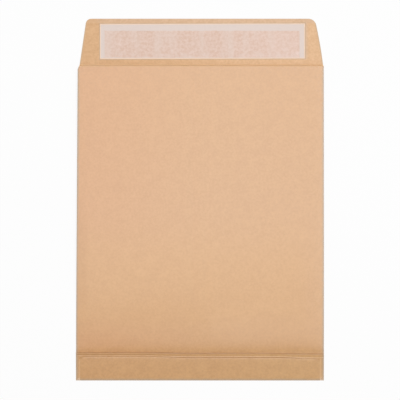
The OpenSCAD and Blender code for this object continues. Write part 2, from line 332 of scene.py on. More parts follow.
def make_glazed_kraft():
    """The glazed outside, with its drifting colour, its throat and cut edges, and painted shade at
    its folds, crease, lip, flap edge and lower left side.
    """
    finish, tree, shader, place = new_material("glazed_kraft", roughness=0.25, specular=0.57)
    x, y, _ = coordinates(tree, place)
    far = maths(tree, "ABSOLUTE", x)
    from_foot = minus(tree, y, FOOT)
    up = ramp(tree, y, FOOT + HALF_GUSSET, FOOT + THROAT)
    from_left, from_right = from_edges(tree, x, up)
    # painted shade down the lower left side
    left_shade = times(tree, ramp(tree, from_left, *LEFT_SHADE_WIDTH), ramp(tree, from_foot, *LEFT_SHADE_BEGINS),
                ramp(tree, from_foot, *LEFT_SHADE_ENDS))
    patches = grain(tree, place, size=6 * MM, detail=4.0, roughness=0.7)
    # painted shade along the folds, in patches
    fold_shade = times(tree, ramp(tree, least(tree, from_left, from_right, from_foot), *FOLD_SHADE_WIDTH),
                 ramp(tree, patches, *FOLD_SHADE_PATCHES))
    off_cut = maths(tree, "ABSOLUTE", minus(tree, far, EDGE - FLAP_INSET + CUT_EDGE_OUT))
    cut_edge = times(tree, ramp(tree, off_cut, *CUT_EDGE), ramp(tree, from_foot, *CUT_EDGE_ENDS))

    colour = glazed_pulp(tree, place, x, from_foot, from_right)
    # painted shade along the crease and the lip, in the flap's gap, down the lower left side and
    # along the folds
    colour = blend(tree, painted_crease_shade(tree, x, from_foot), colour, CREASE_SHADE)
    colour = blend(tree, most(tree, flap_gap_shade(tree, x, far, from_foot), left_shade), colour, SHADED)
    colour = blend(tree, fold_shade, colour, FOLD_SHADE)
    colour = blend(tree, ramp(tree, from_foot, *THROAT_BEGINS), colour, THROAT_EDGE)
    colour = blend(tree, cut_edge, colour, RAW_EDGE)
    plug(tree, colour, shader.inputs["Base Color"])
    fine = grain(tree, place, size=0.55 * MM, detail=3.0, roughness=0.6)
    tooth(tree, shader, fine, strength=0.12, depth=0.04 * MM)
    return finish


# the matt side's colours, with a paler one for a painted sheen towards the right
INNER_LIT = (0.762, 0.482, 0.276)
# painted light at the score, lifting the back panel's shadow on the flap's root
SCORE_LIGHT = (0.83, 0.53, 0.28)
FLAP_RIM = (0.695, 0.465, 0.305)
# painted shade on the flap just outside the liner's edge
LINER_SHADE = (0.53, 0.395, 0.285)
HANDLED = (0.60, 0.43, 0.28)
INNER_SPREAD = 0.09

# the ramps of its marks, which the top flap shows
# painted sheen, growing towards the right
INNER_LIGHT_TURNS = (-80 * MM, 70 * MM, 0.0, 1.0)
RIM_BAND = (SHEET_HIGH.y - 5.5 * MM, SHEET_HIGH.y - 3.5 * MM, 0.0, 0.7)
RIM_EDGE = (SHEET_HIGH.y - 1.6 * MM, SHEET_HIGH.y - 0.8 * MM, 0.0, 1.0)
RIM_LEFT = (LINER_LOW.x - 6 * MM, LINER_LOW.x + 4 * MM, 0.3, 1.0)
PALE_BESIDE = (LINER_HIGH.x - 1 * MM, LINER_HIGH.x, 0.0, 1.0)
PALE_BESIDE_ENDS = (LINER_HIGH.x + 1 * MM, LINER_HIGH.x + 4.5 * MM, 0.8, 0.0)
PALE_BESIDE_ABOVE = (LINER_LOW.y - 1 * MM, LINER_LOW.y + 1 * MM, 0.0, 1.0)
# painted shade just outside the liner's edge
LINER_SHADE_ENDS = (0.3 * MM, 1.4 * MM, 0.6, 0.0)
HANDLED_SIDE = (0.3 * MM, 2.0 * MM, 0.75, 0.0)
HANDLED_ABOVE = (0.0, 0.05, 0.0, 1.0)
# painted light at the score
SCORE_LIGHT_BEGINS = (FOOT + THROAT - 0.5 * MM, FOOT + THROAT, 0.0, 1.0)
SCORE_LIGHT_ENDS = (FOOT + THROAT + 1.0 * MM, FOOT + THROAT + 2.4 * MM, 1.0, 0.0)


def pale_rim(tree, x, y):
    """Where the top flap is paler: along its top edge, and just right of the liner."""
    top = most(tree, ramp(tree, y, *RIM_BAND), ramp(tree, y, *RIM_EDGE))
    beside = times(tree, ramp(tree, x, *PALE_BESIDE), ramp(tree, x, *PALE_BESIDE_ENDS),
                   ramp(tree, y, *PALE_BESIDE_ABOVE))
    return most(tree, times(tree, top, ramp(tree, x, *RIM_LEFT)), beside)


def beside_liner(tree, x, y):
    """How far a point lies outside the liner's outline, negative within it."""
    liner_y = scaled(tree, x, -LINER_SKEW, y)
    return most(tree, minus(tree, x, LINER_HIGH.x), minus(tree, LINER_LOW.x, x),
                minus(tree, liner_y, LINER_HIGH.y), minus(tree, LINER_LOW.y, liner_y))


def handled_sides(tree, x, y):
    """The top flap's two side edges, greyed by hands."""
    up = scaled(tree, y, 1 / TOP_FLAP, -(FOOT + THROAT) / TOP_FLAP)
    left = scaled(tree, up, -TAPER_LEFT, EDGE - LEAN_LEFT - PINCH - STEP_LEFT)
    right = scaled(tree, up, -TAPER_RIGHT, EDGE - LEAN_RIGHT - STEP_RIGHT)
    bow = times(tree, up, minus(tree, 1.0, up), 4 * BOW_RIGHT)
    off = least(tree, plus(tree, left, x), minus(tree, plus(tree, right, bow), x))
    return times(tree, ramp(tree, off, *HANDLED_SIDE), ramp(tree, up, *HANDLED_ABOVE))


def make_inner_kraft():
    """The matt inside: a painted sheen to the right, marks round the top flap's edges, painted
    shade round its liner and painted light at its score.
    """
    finish, tree, shader, place = new_material("inner_kraft", roughness=0.6, specular=0.3)
    x, y, _ = coordinates(tree, place)
    # painted sheen: the matt side is paler towards the right
    colour = blend(tree, ramp(tree, x, *INNER_LIGHT_TURNS),
                   paper_colour(tree, place, INNER, INNER_SPREAD),
                   paper_colour(tree, place, INNER_LIT, INNER_SPREAD))
    colour = blend(tree, pale_rim(tree, x, y), colour,
                   paper_colour(tree, place, FLAP_RIM, INNER_SPREAD))
    colour = blend(tree, handled_sides(tree, x, y), colour, HANDLED)
    # painted shade on the flap round the liner's edge
    colour = blend(tree, ramp(tree, beside_liner(tree, x, y), *LINER_SHADE_ENDS), colour, LINER_SHADE)
    # painted light at the score, lifting the back panel's shadow there
    score_light = times(tree, ramp(tree, y, *SCORE_LIGHT_BEGINS), ramp(tree, y, *SCORE_LIGHT_ENDS))
    plug(tree, blend(tree, score_light, colour, SCORE_LIGHT), shader.inputs["Base Color"])
    fine = grain(tree, place, size=0.5 * MM, detail=3.0, roughness=0.65)
    tooth(tree, shader, fine, strength=0.25, depth=0.05 * MM)
    return finish


RAW = (0.56, 0.37, 0.21)
RAW_SPREAD = 0.08


def make_cut_kraft():
    """The raw fibre of a cut edge."""
    finish, tree, shader, place = new_material("cut_kraft", roughness=0.8, specular=0.2)
    plug(tree, paper_colour(tree, place, RAW, RAW_SPREAD), shader.inputs["Base Color"])
    fine = grain(tree, place, size=0.2 * MM, roughness=0.6)
    tooth(tree, shader, fine, strength=0.4, depth=0.05 * MM)
    return finish


glazed_kraft = make_glazed_kraft()
inner_kraft = make_inner_kraft()
cut_kraft = make_cut_kraft()

# The gusseted tube is the front panel, two V-folded side gussets and a back panel in two
# halves, all one sheet. It is folded flat and glued along the back seam, and here the
# gussets have sprung open, so that the back panel stands above the front one.
PAPER = 0.18 * MM
FOLD_GAP = 0.06 * MM
PITCH = PAPER + FOLD_GAP
FOLD_RADIUS = PITCH / 2
BLOCK = GUSSET
PINCH_LENGTH = 3.7 * MM
SPRING = 0.91 * MM
SLOPE_LENGTH = 125 * MM
SLOPE_POWER = 2.0
FOOT_BEND = 0.20 * MM
FOOT_BEND_LENGTH = 4 * MM
SEAM_X = -6.2 * MM
SEAM_OVERLAP = 12 * MM
SEAM_RAMP = 3 * MM
SEAM_TIP = 0.3 * MM
PANEL_STEP = 4 * MM
GUSSET_STEP = 3 * MM
PANEL_ENDS = (0.5 * MM, 1.3 * MM, 2.5 * MM)
PANEL_LEAST = 17 * MM
OUTSIDE, INSIDE, CUT = 0, 1, 2


def level(n):
    """Mid-paper height of the nth layer of the folded stack, the front panel being 0."""
    return PAPER / 2 + n * PITCH


BACK_TOP = SHEET_HIGH.z - PAPER * 1.5


def left_x(y):
    """X of the body's left edge at height y above the foot."""
    lean = LEAN_LEFT * max(0, y - HALF_GUSSET) / (THROAT - HALF_GUSSET)
    return -EDGE + lean + PINCH * max(0, 1 - (THROAT - y) / PINCH_LENGTH)


def right_x(y):
    """X of the body's right edge at height y above the foot."""
    return EDGE - LEAN_RIGHT * max(0, y - HALF_GUSSET) / (THROAT - HALF_GUSSET)


def rise(y):
    """How far the back panel has sprung up from the folded stack at height y."""
    if y < BLOCK:
        return (SPRING - FOOT_BEND) * ((y - HALF_GUSSET) / (BLOCK - HALF_GUSSET)) ** 2
    u = min(1, (y - BLOCK) / SLOPE_LENGTH)
    tight = FOOT_BEND * math.exp(-(y - BLOCK) / FOOT_BEND_LENGTH)
    return SPRING + (BACK_TOP - level(3) - SPRING) * (1 - (1 - u) ** SLOPE_POWER) - tight


def bend(centre, radius, start, end, side=1, steps=8):
    """Samples (x, z, heading) on an arc about a centre, turning left (side 1) or right (-1)."""
    headings = [math.radians(start + (end - start) * i / steps) for i in range(steps + 1)]
    return [(centre[0] + side * radius * math.sin(a), centre[1] - side * radius * math.cos(a), a)
            for a in headings]


def faces_of(sample):
    """The paper's two faces beside a sample: right of its heading, and left."""
    x, z, heading = sample
    dx, dz = PAPER / 2 * math.sin(heading), -PAPER / 2 * math.cos(heading)
    return (x + dx, z + dz), (x - dx, z - dz)


GUSSET_RUN = (GUSSET - 3 * math.pi * FOLD_RADIUS) / 2


def gusset(edge, height):
    """The V from the front panel's edge, in and out again to the back panel that high above."""
    tilt = math.asin(min(1, (height - 6 * FOLD_RADIUS) / (2 * GUSSET_RUN)))
    s, c = math.sin(tilt), math.cos(tilt)
    r, run = FOLD_RADIUS, GUSSET_RUN
    front = (edge - r - PAPER / 2, PAPER / 2 + r)
    inward = (front[0] + r * s - run * c, front[1] + r * c + run * s)
    inner = (inward[0] + r * s, inward[1] + r * c)
    outward = (inner[0] - r * s + run * c, inner[1] + r * c + run * s)
    back = (outward[0] - r * s, outward[1] + r * c)
    turned = math.degrees(tilt)
    return (bend(front, r, 0, 180 - turned) + bend(inner, r, 180 - turned, turned, -1)
            + bend(back, r, turned, 180))


def seam_pairs(z):
    """(outer, inner) points across the glued seam: the right half ends on the left one."""
    half, left, right, tip = PAPER / 2, SEAM_X, SEAM_X + SEAM_OVERLAP, SEAM_TIP
    return [((right + SEAM_RAMP, z + half), (right + SEAM_RAMP, z - half)),
            ((right + tip, z + 3 * half), (right, z + half)),
            ((right - tip, z + 3 * half), (right, z - half)),
            ((left, z + 3 * half), (left + tip, z - half)),
            ((left, z + half), (left - tip, z - half))]


def section(y):
    """One closed section of the body at height y, as (outer, inner) points from right to left."""
    z = level(3) + rise(y)
    height = z - PAPER / 2
    right = [faces_of(sample) for sample in gusset(right_x(y), height)]
    left = [faces_of(sample) for sample in gusset(-left_x(y), height)]
    return right + seam_pairs(z) + [tuple((-x, h) for x, h in pair) for pair in left[::-1]]


def splits(pairs):
    """Where each stretch of a section gets extra points, as shares of its length."""
    found = []
    for i, (a, _) in enumerate(pairs):
        length = math.dist(a, pairs[(i + 1) % len(pairs)][0])
        if length > PANEL_LEAST:
            n = round(length / PANEL_STEP)
            ends = [d / length for d in PANEL_ENDS]
            found.append([0] + ends + [k / n for k in range(1, n)] + [1 - e for e in ends[::-1]])
        else:
            n = max(1, round(length / GUSSET_STEP))
            found.append([k / n for k in range(n)])
    return found


def cut_up(pairs, shares):
    """The section with extra points along its long stretches."""
    out = []
    for i, fractions in enumerate(shares):
        a, b = pairs[i], pairs[(i + 1) % len(pairs)]
        for f in fractions:
            out.append([(p[0] + (q[0] - p[0]) * f, p[1] + (q[1] - p[1]) * f)
                        for p, q in zip(a, b)])
    return out


def stations():
    """Heights of the tube's rings: close together at the crease and at the throat."""
    low = [HALF_GUSSET + d * MM for d in (0, 4, 7.5, 10.5, 12.5, 13.5, 14.2, 15, 16, 17.5, 19.5,
                                          22, 25)]
    high = [THROAT - d * MM for d in (16, 13, 10.5, 8, 6, 3.7, 2.6, 1.6, 0.8, 0)]
    start, end = low[-1], high[0]
    n = round((end - start) / PANEL_STEP)
    return low + [start + (end - start) * i / n for i in range(1, n)] + high


def shell(name, points, faces, finishes):
    """A closed shell with one finish for each face. Its points have their Y from the foot."""
    mesh = bpy.data.meshes.new(name)
    mesh.from_pydata([(p[0], p[1] + FOOT, p[2]) for p in points], [], faces)
    for finish in (glazed_kraft, inner_kraft, cut_kraft):
        mesh.materials.append(finish)
    mesh.polygons.foreach_set("material_index", finishes)
    obj = bpy.data.objects.new(name, mesh)
    bpy.context.scene.collection.objects.link(obj)
    return obj


def body_tube():
    """The front panel, the gussets and the back panel, ring by ring from the foot up."""
    shares = splits(section(THROAT / 2))
    rings = [(y, cut_up(section(y), shares)) for y in stations()]
    n = len(rings[0][1])
    last = len(rings) - 1
    points = [(p[side][0], y, p[side][1]) for y, ring in rings for side in (0, 1) for p in ring]

    def at(i, side, j):
        return (2 * i + side) * n + j % n

    faces, finishes = [], []
    for i in range(last):
        for j in range(n):
            faces.append((at(i, 0, j), at(i + 1, 0, j), at(i + 1, 0, j + 1), at(i, 0, j + 1)))
            faces.append((at(i, 1, j), at(i, 1, j + 1), at(i + 1, 1, j + 1), at(i + 1, 1, j)))
            finishes += [OUTSIDE, INSIDE]
    for j in range(n):
        faces.append((at(0, 0, j), at(0, 0, j + 1), at(0, 1, j + 1), at(0, 1, j)))
        faces.append((at(last, 0, j), at(last, 1, j), at(last, 1, j + 1), at(last, 0, j + 1)))
        finishes += [CUT, CUT]
    return shell("body_tube", points, faces, finishes)


# The block bottom closes the foot. The front panel is turned up as the bottom flap, over the
# back panel's folded lip and the gussets' ends, which are tucked in along two diagonals. It
# is glued down, and its two folds that show run slightly askew, lower towards the right.
GLUE_PRESS = 0.02 * MM
FLAP_CURL = 0.10
FLAP_CURL_LENGTH = 1.2 * MM
LIP_LENGTH = 18 * MM
FOOT_RADIUS = 0.22 * MM
FOOT_Y = FOOT_RADIUS + PAPER / 2
# the lip's set at a few distances above the flap's edge, on the left and on the right, in mm
LIP_STEPS = (0, 0.5, 1.5, 2.5, 3.6, 4.5)
LIP_LEFT = (0, 0.10, 0.06, 0.33, 0.40, 0.40)
LIP_RIGHT = (0, 0.14, 0.07, 0.14, 0.19, 0.20)
LIP_TURNS = (0.1, 0.5)
LIP_ROWS = 26
LIP_UNDER = 0.6 * MM
FLAP_ROWS = 8
FLAP_ROOT = 1 * MM
FLAP_LOW = PAPER / 2 + 2 * FOOT_RADIUS
FLAP_SLOPE = (level(7) + PAPER - FLAP_LOW) / HALF_GUSSET
FLAP_ANGLE = math.atan(FLAP_SLOPE)
TUCK_SLOPE = (level(6) - level(1)) / HALF_GUSSET
TUCK_ANGLE = math.atan(TUCK_SLOPE)
ALONG_STEP = 3 * MM
BLOCK_OVER = 0.5 * MM
CUTTER_OVER = 1 * MM


def smooth(value, low, high):
    """0 below low, 1 above high, and a smooth rise between them."""
    t = min(1, max(0, (value - low) / (high - low)))
    return t * t * (3 - 2 * t)


def drift(x, fall):
    """How much of its drift a fold has at x: half left of the middle, half at the right."""
    return 0.5 * smooth(x, *FIRST_FALL) + 0.5 * smooth(x, *fall)


def flap_end(x):
    """Height of the bottom flap's edge above the foot."""
    return FLAP_END - FLAP_DRIFT * drift(x, FLAP_FALL)


def crease(x):
    """Height of the crease above the foot."""
    return CREASE - CREASE_DRIFT * drift(x, CREASE_FALL)


def lip_z(y):
    """Mid-paper height of the lip, glued against the flap's underside."""
    return FLAP_LOW + FLAP_SLOPE * y - (PAPER - GLUE_PRESS) / math.cos(FLAP_ANGLE)


def tuck_z(y):
    """Mid-paper height of the large triangle of a tucked gusset."""
    return level(1) + TUCK_SLOPE * y


def small_z(y):
    """Mid-paper height of the small triangle above it."""
    return level(5) + TUCK_SLOPE * (y - HALF_GUSSET)


def under_z(y):
    """Mid-paper height of the back panel just below the crease."""
    return level(4) + TUCK_SLOPE * (y - HALF_GUSSET)


def lip_shape(x, y):
    """Height of the visible lip, which has set in a bead and a step above the flap's edge.
    The step is higher on the left."""
    d = (y - flap_end(x)) / MM
    side = smooth(drift(x, FLAP_FALL), *LIP_TURNS)
    extra = 0
    for i in range(1, len(LIP_STEPS)):
        t = smooth(d, LIP_STEPS[i - 1], LIP_STEPS[i])
        left, right = LIP_LEFT[i] - LIP_LEFT[i - 1], LIP_RIGHT[i] - LIP_RIGHT[i - 1]
        extra += t * (left + (right - left) * side) * MM
    return lip_z(y) + extra


def prism_x(name, path_at, x0, x1, right, left):
    """A folded strip along X: path_at(x) gives its (y, z, heading) samples, right and left
    are the finishes of its two faces."""
    cuts = max(1, round((x1 - x0) / ALONG_STEP))
    points = []
    for i in range(cuts + 1):
        x = x0 + (x1 - x0) * i / cuts
        sides = [faces_of(sample) for sample in path_at(x)]
        points += [(x, *s[0]) for s in sides] + [(x, *s[1]) for s in sides[::-1]]
    m = len(sides)
    n = 2 * m
    kinds = [right] * (m - 1) + [CUT] + [left] * (m - 1) + [CUT]
    faces, finishes = [], []
    for i in range(cuts):
        for j in range(n):
            k = (j + 1) % n
            faces.append((i * n + j, i * n + k, (i + 1) * n + k, (i + 1) * n + j))
            finishes.append(kinds[j])
    for j in range(m - 1):
        a, b, c, d = j, j + 1, n - 2 - j, n - 1 - j
        faces.append((a, d, c, b))
        faces.append(tuple(cuts * n + v for v in (a, b, c, d)))
        finishes += [CUT, CUT]
    return shell(name, points, faces, finishes)


def slab(name, outline, low, high, top, under):
    """A flat outline in X and Y between two slopes low(y) and high(y)."""
    n = len(outline)
    area = sum(outline[i - 1][0] * outline[i][1] - outline[i][0] * outline[i - 1][1]
               for i in range(n))
    if area < 0:
        outline = outline[::-1]
    points = [(x, y, low(y)) for x, y in outline] + [(x, y, high(y)) for x, y in outline]
    faces = [tuple(range(n))[::-1], tuple(range(n, 2 * n))]
    faces += [(i, (i + 1) % n, n + (i + 1) % n, n + i) for i in range(n)]
    return shell(name, points, faces, [under, top] + [CUT] * n)


def rectangle(x0, x1, y0, y1):
    """The four corners of a rectangle, in order round it."""
    return [(x0, y0), (x1, y0), (x1, y1), (x0, y1)]


def front_foot():
    """The front panel's foot under the block, up to where the tube begins."""
    out = EDGE - FOLD_RADIUS - PAPER / 2
    inset = EDGE - FLAP_INSET
    top = HALF_GUSSET + BLOCK_OVER
    outline = [(-out, 0), (-inset, 0), (-inset, FOOT_Y), (inset, FOOT_Y), (inset, 0), (out, 0),
               (out, top), (-out, top)]
    return slab("front_foot", outline, lambda y: 0, lambda y: PAPER, OUTSIDE, OUTSIDE)


def bottom_flap():
    """The flap turned up at the foot, its upper edge curling down a little."""
    turn = bend((FOOT_Y, FOOT_RADIUS + PAPER / 2), FOOT_RADIUS, 180, math.degrees(FLAP_ANGLE), -1)
    start = [(FOOT_Y + FLAP_ROOT, PAPER / 2, math.pi)]
    y0, z0, _ = turn[-1]

    def path_at(x):
        y1 = flap_end(x) - FLAP_CURL_LENGTH
        path = start + turn
        for i in range(1, FLAP_ROWS + 1):
            y = y0 + (y1 - y0) * i / FLAP_ROWS
            path.append((y, z0 + FLAP_SLOPE * (y - y0), FLAP_ANGLE))
        for share in (0.5, 1):
            last_y, last_z, _ = path[-1]
            tilt = FLAP_ANGLE - FLAP_CURL * share
            y = y1 + FLAP_CURL_LENGTH * share
            path.append((y, last_z + math.tan(tilt + FLAP_CURL / 4) * (y - last_y), tilt))
        return path

    x1 = EDGE - FLAP_INSET
    return prism_x("bottom_flap", path_at, -x1, x1, INSIDE, OUTSIDE)


def corner_cutter(side):
    """The slanting cut at an upper corner of the bottom flap."""
    x1 = EDGE - FLAP_INSET
    y1 = flap_end(side * x1)
    out, top = x1 + CUTTER_OVER, y1 + CUTTER_OVER
    outline = [(x1 - FLAP_CUT, y1), (x1, y1 - FLAP_CUT_DROP), (out, y1 - FLAP_CUT_DROP), (out, top),
               (x1 - FLAP_CUT, top)]
    return slab("corner_cutter", [(side * x, y) for x, y in outline], lambda y: -CUTTER_OVER,
                lambda y: BLOCK, CUT, CUT)


def back_fold():
    """The back panel's foot from half depth up to the crease, and its lip folded back over."""

    def path_at(x):
        y0 = HALF_GUSSET + PAPER / 2
        hinge_y = crease(x) - PAPER / 2
        room = lip_shape(x, hinge_y) - under_z(hinge_y)
        r = room / (1 / math.cos(TUCK_ANGLE) + 1 / math.cos(FLAP_ANGLE) + FLAP_SLOPE - TUCK_SLOPE)
        centre = (hinge_y - r, under_z(hinge_y - r) + r / math.cos(TUCK_ANGLE))
        turn = bend(centre, r, math.degrees(TUCK_ANGLE), 180 + math.degrees(FLAP_ANGLE))
        path = [(y0, under_z(y0), TUCK_ANGLE)] + turn
        y_first, y_last = turn[-1][0], flap_end(x) - LIP_UNDER
        step = 0.01 * MM
        for i in range(1, LIP_ROWS + 1):
            y = y_first + (y_last - y_first) * i / LIP_ROWS
            tilt = (lip_shape(x, y + step) - lip_shape(x, y - step)) / (2 * step)
            path.append((y, lip_shape(x, y), math.pi + math.atan(tilt)))
        y1 = BLOCK - LIP_LENGTH
        return path + [(y1, lip_z(y1), math.pi + FLAP_ANGLE)]

    return prism_x("back_fold", path_at, -EDGE, EDGE, OUTSIDE, INSIDE)


def crease_wall():
    """The web of paper that joins the tube's foot to the fold below it."""
    low = level(3) - PAPER / 2
    outline = rectangle(-EDGE, EDGE, HALF_GUSSET, HALF_GUSSET + PAPER)
    return slab("crease_wall", outline, lambda y: low, lambda y: low + PITCH + PAPER,
                OUTSIDE, OUTSIDE)


def edge_fold(side):
    """The front panel's edge fold beside the foot, a half round rod of paper."""
    nose = FOLD_RADIUS + PAPER / 2
    arc = [faces_of(sample) for sample in bend((nose - EDGE, nose), FOLD_RADIUS, 180, 360)]
    ring = [right for right, _ in arc] + [left for _, left in arc[::-1]]
    n, m = len(ring), len(arc)
    points = [(side * x, y, z) for y in (0, HALF_GUSSET + BLOCK_OVER) for x, z in ring]
    faces = [(j, n + j, n + (j + 1) % n, (j + 1) % n) for j in range(n)]
    for j in range(m - 1):
        a, b, c, d = j, j + 1, n - 2 - j, n - 1 - j
        faces += [(a, b, c, d), (n + a, n + d, n + c, n + b)]
    finishes = [OUTSIDE] * (m - 1) + [CUT] + [INSIDE] * (m - 1) + [CUT] * (2 * m - 1)
    if side < 0:
        faces = [face[::-1] for face in faces]
    return shell("edge_fold", points, faces, finishes)


def corner_tuck(side):
    """The folded end of one gusset, at the left edge or mirrored at the right one: its leaves
    and triangles, and the webs of paper in the folds between them."""
    half = PAPER / 2
    web = PAPER * math.sqrt(2)
    back = HALF_GUSSET - FOLD_GAP - PAPER
    top = HALF_GUSSET + BLOCK_OVER
    outer, inner = -EDGE, HALF_GUSSET - EDGE
    nose = FOLD_RADIUS + half
    near, far = outer + nose, inner - nose
    middle = (inner, HALF_GUSSET)

    def between(low, high, outline, upper=INSIDE, under=OUTSIDE):
        return slab("tuck", [(side * x, y) for x, y in outline], lambda y: low(y) - half,
                    lambda y: high(y) + half, upper, under)

    def first(y):
        return level(1)

    def second(y):
        return level(2)

    def behind(y):
        return small_z(back)

    return [
        # the first leaf, the large triangle, and the webs along the lower and upper diagonals
        between(first, first, [(near, nose), (near, top), (inner, top), middle], OUTSIDE, INSIDE),
        between(tuck_z, tuck_z, [(outer, 0), middle, (outer, BLOCK)], OUTSIDE, INSIDE),
        between(first, tuck_z, [(outer, 0), middle, (inner - web, HALF_GUSSET), (outer, web)]),
        between(small_z, tuck_z, [middle, (outer, BLOCK), (outer, BLOCK - web),
                                  (inner - web, HALF_GUSSET)]),
        # the small triangle, its web at the side, the second leaf and the web at its foot
        between(small_z, small_z, [(outer, back), (inner, back), middle, (outer, BLOCK)]),
        between(under_z, small_z, rectangle(outer, outer + PAPER, HALF_GUSSET, BLOCK - web)),
        between(second, second, rectangle(near, far, back, top)),
        between(second, behind, rectangle(near, far, back, back + PAPER)),
        edge_fold(side),
    ]


# The top flap is the front panel carried on past the throat. Its corners are rounded, its
# sides lean in, and a score across its root lets it fold down over the back panel.
CORNER_LEFT = 6 * MM
CORNER_RIGHT = 8.5 * MM
TOP_FLAP_ROW = 2.5 * MM
TOP_FLAP_COLUMNS = 70
CORNER_ROWS = 12


def flap_side(v, right):
    """X of the flap's side edge at height v above the throat, with the rounded corner."""

    def straight(at):
        if right:
            return right_x(THROAT) - STEP_RIGHT - TAPER_RIGHT * at + 4 * BOW_RIGHT * at * (1 - at)
        return -(left_x(THROAT) + STEP_LEFT + TAPER_LEFT * at)

    radius = CORNER_RIGHT if right else CORNER_LEFT
    slope = (TAPER_RIGHT + 4 * BOW_RIGHT if right else TAPER_LEFT) / TOP_FLAP
    lean = math.atan(slope)
    centre = TOP_FLAP - radius
    tangent = centre + radius * math.sin(lean)
    x = straight(v / TOP_FLAP)
    if v > tangent:
        turned = math.sqrt(max(0, radius ** 2 - (v - centre) ** 2))
        x = straight(tangent / TOP_FLAP) - radius * math.cos(lean) + turned
    return x if right else -x


def sheet_faces(columns, rows):
    """The faces of a thin closed sheet between two grids of points: its cells, then its rim."""
    half = columns * rows
    cells = []
    for r in range(rows - 1):
        for c in range(columns - 1):
            a, d = r * columns + c, (r + 1) * columns + c + 1
            b, e = a + 1, d - 1
            cells += [(a, e, d, b), (half + a, half + b, half + d, half + e)]
    last = columns - 1
    rim = (list(range(columns)) + [r * columns + last for r in range(1, rows)]
           + [(rows - 1) * columns + c for c in range(last - 1, -1, -1)]
           + [r * columns for r in range(rows - 2, 0, -1)])
    return cells, [(a, b, half + b, half + a) for a, b in zip(rim, rim[1:] + rim[:1])]


def top_flap():
    """A sheet between the two side edges, its rows close together in the score and corners."""
    low = [v * MM for v in (-1, -0.3, 0, 0.3, 0.7, 1.1, 1.6, 2.1, 2.8, 3.8, 5)]
    start, end = low[-1], TOP_FLAP - CORNER_RIGHT
    n = round((end - start) / TOP_FLAP_ROW)
    heights = low + [start + (end - start) * i / n for i in range(1, n + 1)]
    heights += [end + CORNER_RIGHT * math.sin(math.pi / 2 * i / CORNER_ROWS)
                for i in range(1, CORNER_ROWS + 1)]
    points = []
    for z in (0, PAPER):
        for v in heights:
            left, right = flap_side(max(0, v), False), flap_side(max(0, v), True)
            points += [(left + (right - left) * i / TOP_FLAP_COLUMNS, THROAT + v, z)
                       for i in range(TOP_FLAP_COLUMNS + 1)]
    cells, rim = sheet_faces(TOP_FLAP_COLUMNS + 1, len(heights))
    finishes = [OUTSIDE, INSIDE] * (len(cells) // 2) + [CUT] * len(rim)
    return shell("top_flap", points, cells + rim, finishes)


# Use leaves a relief in the paper that follows a rule, so a node tree makes it: soft waves
# and a sag in the free back panel, its roll down to the side folds, the gussets' inner folds
# showing through, a dip beside the glued seam, and the score at the root of the top flap.
RELIEF = {
    "Wave Height": 0.35 * MM, "Wave Length": 70 * MM, "Seed": 4.0, "Sag": 0.6 * MM,
    "Crown": 0.22 * MM, "Crown Width": 8 * MM, "Roll": 0.12 * MM, "Roll Width": 1.0 * MM,
    "Fold Line X": EDGE - HALF_GUSSET + 1.6 * MM, "Fold Line Width": 1.2 * MM,
    "Fold Line Depth": 0.03 * MM,
    "Seam Dip X": SEAM_X - 1.2 * MM, "Seam Dip Width": 1.6 * MM, "Seam Dip": 0.08 * MM,
    "Score Y": FOOT + THROAT + 1.7 * MM, "Score Width": 0.5 * MM, "Score Depth": 0.02 * MM,
}

# where each part of the relief begins or ends, up the back panel, across it or in the stack
WAVE_MIDDLE = 0.85
WAVE_BEGINS = (FOOT + BLOCK - 2 * MM, FOOT + BLOCK + 40 * MM)
SAG_ACROSS = (-10 * MM, 40 * MM)
SAG_BEGINS = (FOOT + 35 * MM, FOOT + 90 * MM)
SAG_ENDS = (FOOT + 120 * MM, FOOT + 300 * MM, 1.0, 0.0)
FREE_BACK_BEGINS = (FOOT + BLOCK - 2 * MM, FOOT + BLOCK + 12 * MM)
FREE_BACK_ABOVE = (0.9 * MM, 2.2 * MM)
FLAP_FACE_ABOVE = (0.05 * MM, 0.15 * MM)
FLAP_FACE_BELOW = (0.25 * MM, 0.5 * MM, 1.0, 0.0)


def relief_inputs(tree):
    """Gives the relief tree its named inputs and its output."""
    face = tree.interface
    face.new_socket("Geometry", in_out="INPUT", socket_type="NodeSocketGeometry")
    for name, value in RELIEF.items():
        socket = face.new_socket(name, in_out="INPUT", socket_type="NodeSocketFloat")
        socket.default_value = value
    for name in ("Glazed", "Inner", "Cut"):
        face.new_socket(name, in_out="INPUT", socket_type="NodeSocketMaterial")
    face.new_socket("Geometry", in_out="OUTPUT", socket_type="NodeSocketGeometry")


def bell(tree, value, at, width, height):
    """A hump about at, of the given height."""
    off = maths(tree, "DIVIDE", minus(tree, value, at), width)
    return times(tree, maths(tree, "EXPONENT", times(tree, off, off, -1.0)), height)


def dying(tree, value, width, height):
    """Dies away from its full height where value is 0."""
    share = maths(tree, "DIVIDE", value, width)
    return times(tree, maths(tree, "EXPONENT", times(tree, share, -1.0)), height)


def waves_of(tree, given, here, y):
    """How far the soft waves lower the paper."""
    wave = tree.nodes.new("ShaderNodeTexNoise")
    wave.noise_dimensions = "4D"
    wave.inputs["Detail"].default_value = 1.0
    plug(tree, here, wave.inputs["Vector"])
    plug(tree, given["Seed"], wave.inputs["W"])
    plug(tree, maths(tree, "DIVIDE", 1.0, given["Wave Length"]), wave.inputs["Scale"])
    low = minus(tree, WAVE_MIDDLE, wave.outputs["Fac"])
    return times(tree, low, given["Wave Height"], ramp(tree, y, *WAVE_BEGINS))


